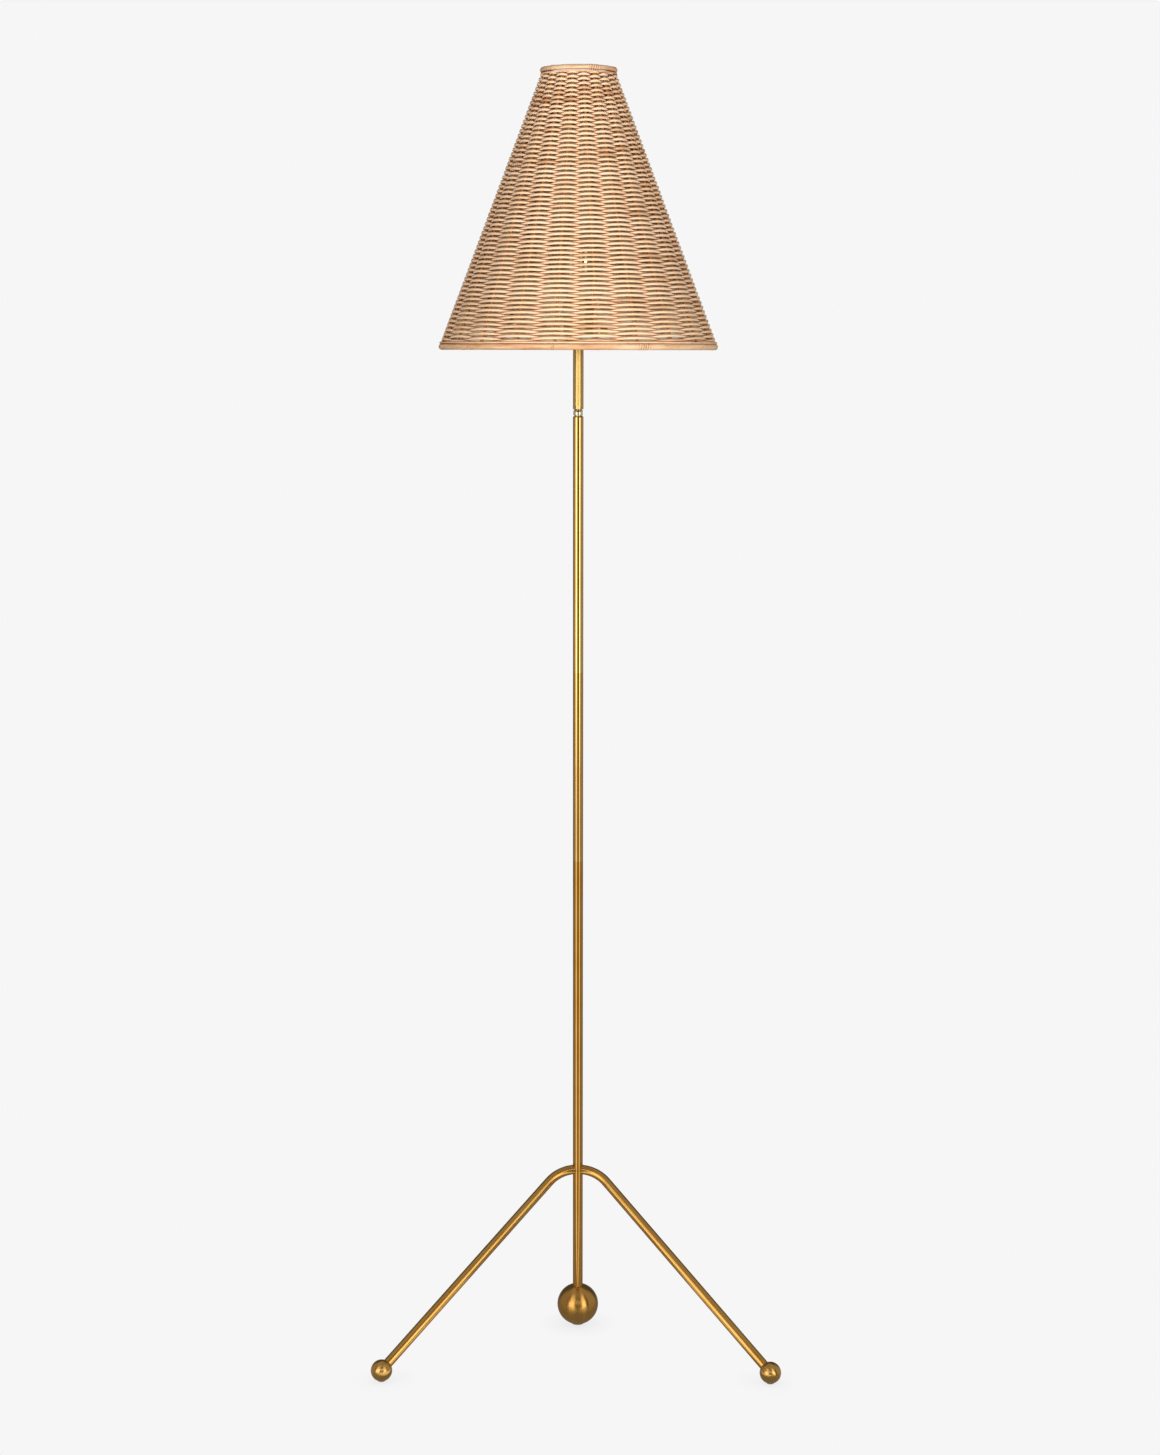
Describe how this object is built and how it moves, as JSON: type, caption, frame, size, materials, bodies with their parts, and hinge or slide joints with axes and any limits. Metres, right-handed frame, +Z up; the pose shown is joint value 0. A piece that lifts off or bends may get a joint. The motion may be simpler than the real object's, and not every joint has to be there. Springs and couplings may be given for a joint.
{
  "type": "tripod floor lamp",
  "caption": "Slim brass floor lamp with a woven rattan cone shade on a tilting swivel, a stem that leans back to a heavy ball foot, and splayed bent-tube legs with ball feet.",
  "frame": {"origin": "on the floor straight below the shade's axis, which is the middle of the box's bottom face", "axes": "+X to the right seen from the front, +Y to the back where the heavy ball foot stands, +Z up along the shade's axis"},
  "size_m": [0.458, 0.305, 1.44],
  "materials": {
    "brass": "satin",
    "brass_turned": "polished",
    "steel": "satin",
    "frame_steel": "satin",
    "friction_fibre": "matte",
    "rattan": "satin",
    "stakes": "satin",
    "cane": "satin",
    "insulator": "matte",
    "lamp_metal": "satin",
    "glass": "frosted",
    "filament": "glowing",
    "felt": "matte"
  },
  "bodies": {
    "stand": {"stem_lower": "brass", "stem_middle": "brass", "stem_upper": "brass", "stem_coupler_lower": "brass_turned", "stem_coupler_upper": "brass_turned", "rear_ball": "brass", "rear_ball_stud": "steel", "rear_stud_plug": "brass_turned", "rear_glide_pad": "felt", "leg_left": "brass", "leg_right": "brass", "foot_ball_left": "brass", "foot_ball_right": "brass", "hub_core": "brass_turned", "leg_spigots": "brass_turned", "foot_studs": "steel", "leg_end_plugs": "brass_turned", "front_glide_pads": "felt", "cord_bushing": "insulator", "swivel_lower": "brass_turned", "tilt_screw": "brass_turned", "tilt_washer": "friction_fibre"},
    "shade_head": {"upper_rod": "brass", "socket_cap": "brass", "socket_shell": "brass", "shade_clamp_ring": "brass", "swivel_upper": "brass_turned", "socket_locknut": "brass_turned", "rod_nipple": "brass_turned", "frame_wire_bottom": "frame_steel", "frame_wire_top": "frame_steel", "fitter_ring": "frame_steel", "fitter_arms": "frame_steel", "shade_weave": "rattan", "shade_stakes": "stakes", "shade_bottom_hoop": "cane", "shade_top_hoop": "cane", "socket_insert": "insulator", "lamp_screw_sleeve": "lamp_metal", "lamp_contact": "lamp_metal", "bulb_base": "lamp_metal", "bulb_glass": "glass", "bulb_glass_stem": "glass", "bulb_filaments": "filament"},
    "switch": {"switch_shaft": "steel", "switch_knob": "brass"}
  },
  "joints": [
    {"name": "shade_tilt", "type": "hinge", "parent": "stand", "child": "shade_head", "pos_m": [0, 0, 1.072], "axis": [1, 0, 0], "range_deg": [-60, 60]},
    {"name": "switch_turn", "type": "hinge", "parent": "shade_head", "child": "switch", "pos_m": [0, 0, 1.161], "axis": [1, 0, 0], "continuous": true}
  ]
}
